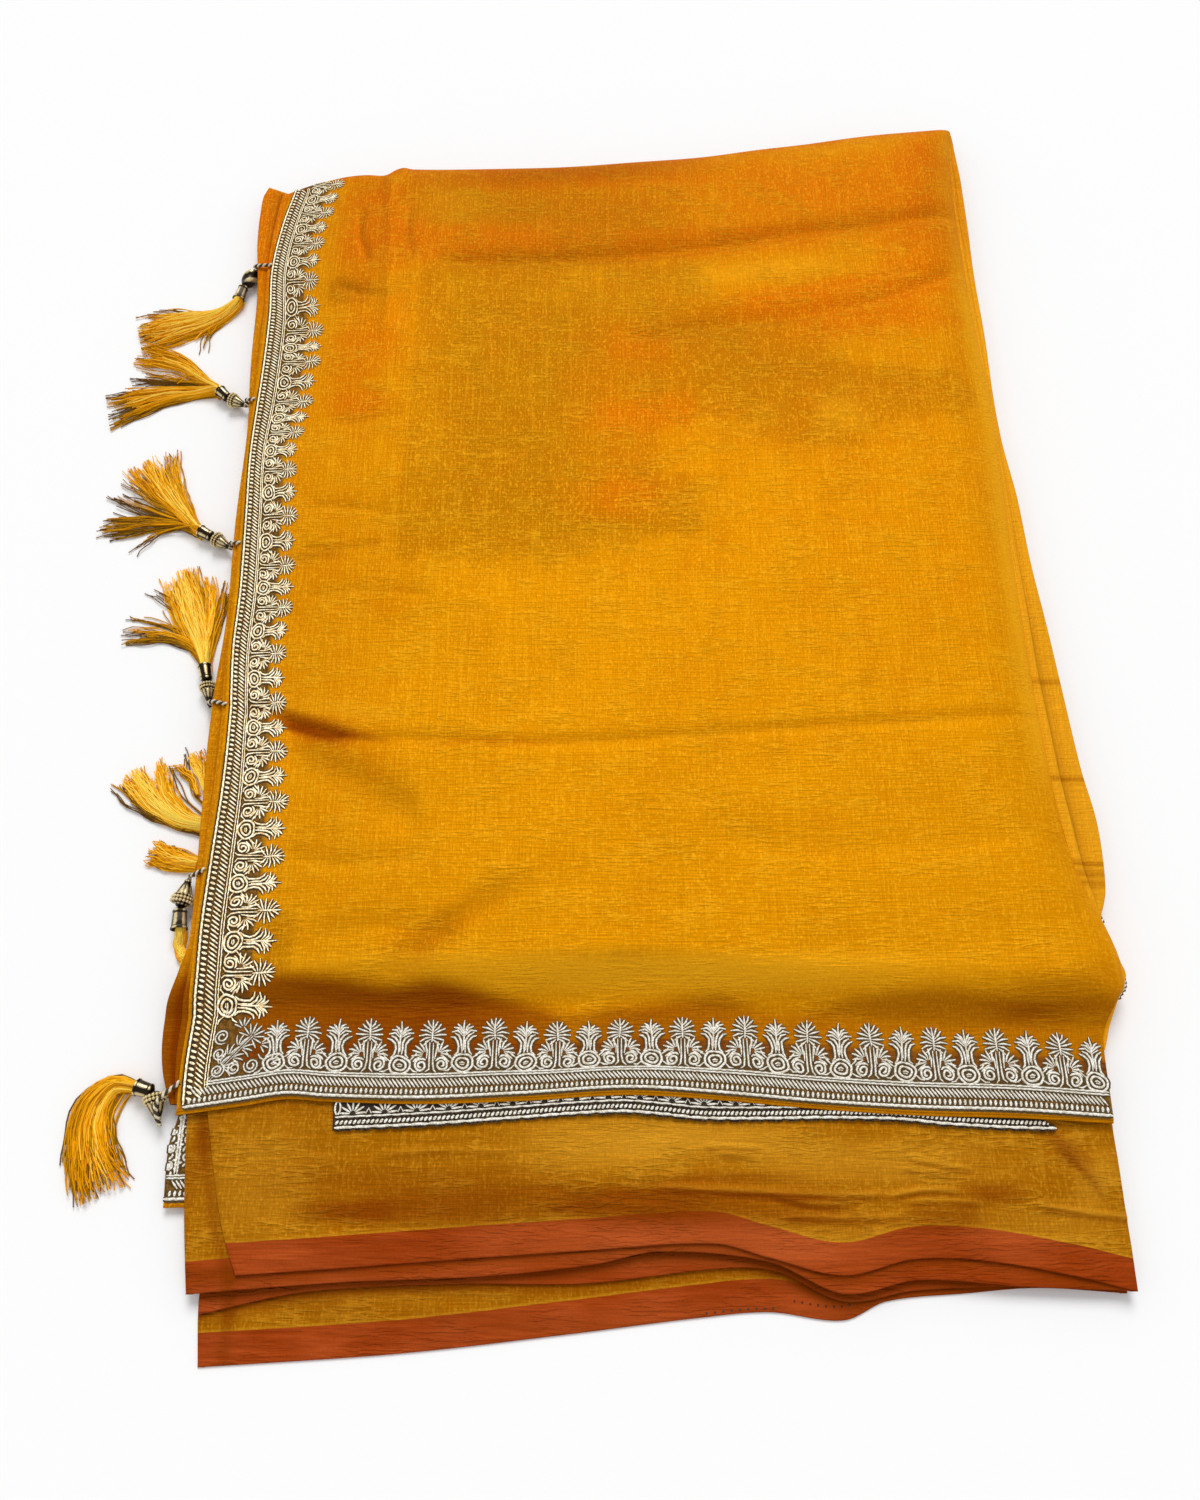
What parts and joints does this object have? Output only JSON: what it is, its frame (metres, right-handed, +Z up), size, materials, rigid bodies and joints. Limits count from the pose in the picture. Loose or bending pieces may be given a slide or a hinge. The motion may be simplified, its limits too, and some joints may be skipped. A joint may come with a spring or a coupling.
{
  "type": "folded saree",
  "caption": "Silk saree folded into a flat stack, its embroidered, tasselled end panel on top and the red selvedges of the body cloth showing below.",
  "frame": {"origin": "on the flat underside of the folded stack, on the table, under the middle of the end panel", "axes": "+X towards the folded right side, away from the tassels; +Y away from the loose selvedge edges, along the end panel's length; +Z up"},
  "size_m": [0.5174, 0.7002, 0.022],
  "materials": {
    "gold_silk": "slubbed, slightly sheer golden silk with a soft sheen",
    "red_selvedge": "woven brick red selvedge band, matt",
    "silver_embroidery": "raised silver metal-thread embroidery on brown ground",
    "black_backing": "near-black backing cloth with silver stitches",
    "tassel_thread": "loose golden-yellow silk threads",
    "antique_gold": "darkened antique gold with polished high spots"
  },
  "bodies": {
    "root": {"folded_layers": "gold_silk", "end_panel_front": "gold_silk", "end_border_front": "silver_embroidery", "side_border_front": "silver_embroidery", "body_edge_lowest": "gold_silk", "selvedge_lowest": "red_selvedge", "body_edge_third": "gold_silk", "selvedge_third": "red_selvedge", "body_edge_second": "gold_silk", "selvedge_second": "red_selvedge", "body_edge_upper": "gold_silk", "selvedge_upper": "red_selvedge", "end_panel_back": "gold_silk", "end_border_back": "silver_embroidery", "border_reverse": "black_backing", "tassel_1_link": "antique_gold", "tassel_1_cone": "antique_gold", "tassel_1_cap": "antique_gold", "tassel_1_skirt": "tassel_thread", "tassel_2_link": "antique_gold", "tassel_2_cone": "antique_gold", "tassel_2_cap": "antique_gold", "tassel_2_skirt": "tassel_thread", "tassel_3_link": "antique_gold", "tassel_3_cone": "antique_gold", "tassel_3_cap": "antique_gold", "tassel_3_skirt": "tassel_thread", "tassel_4_link": "antique_gold", "tassel_4_cone": "antique_gold", "tassel_4_cap": "antique_gold", "tassel_4_skirt": "tassel_thread", "tassel_5_link": "antique_gold", "tassel_5_cone": "antique_gold", "tassel_5_cap": "antique_gold", "tassel_5_skirt": "tassel_thread", "tassel_6_link": "antique_gold", "tassel_6_cone": "antique_gold", "tassel_6_cap": "antique_gold", "tassel_6_skirt": "tassel_thread", "tucked_skirt_1": "tassel_thread", "tucked_skirt_2": "tassel_thread", "tucked_skirt_3": "tassel_thread"}
  },
  "joints": []
}
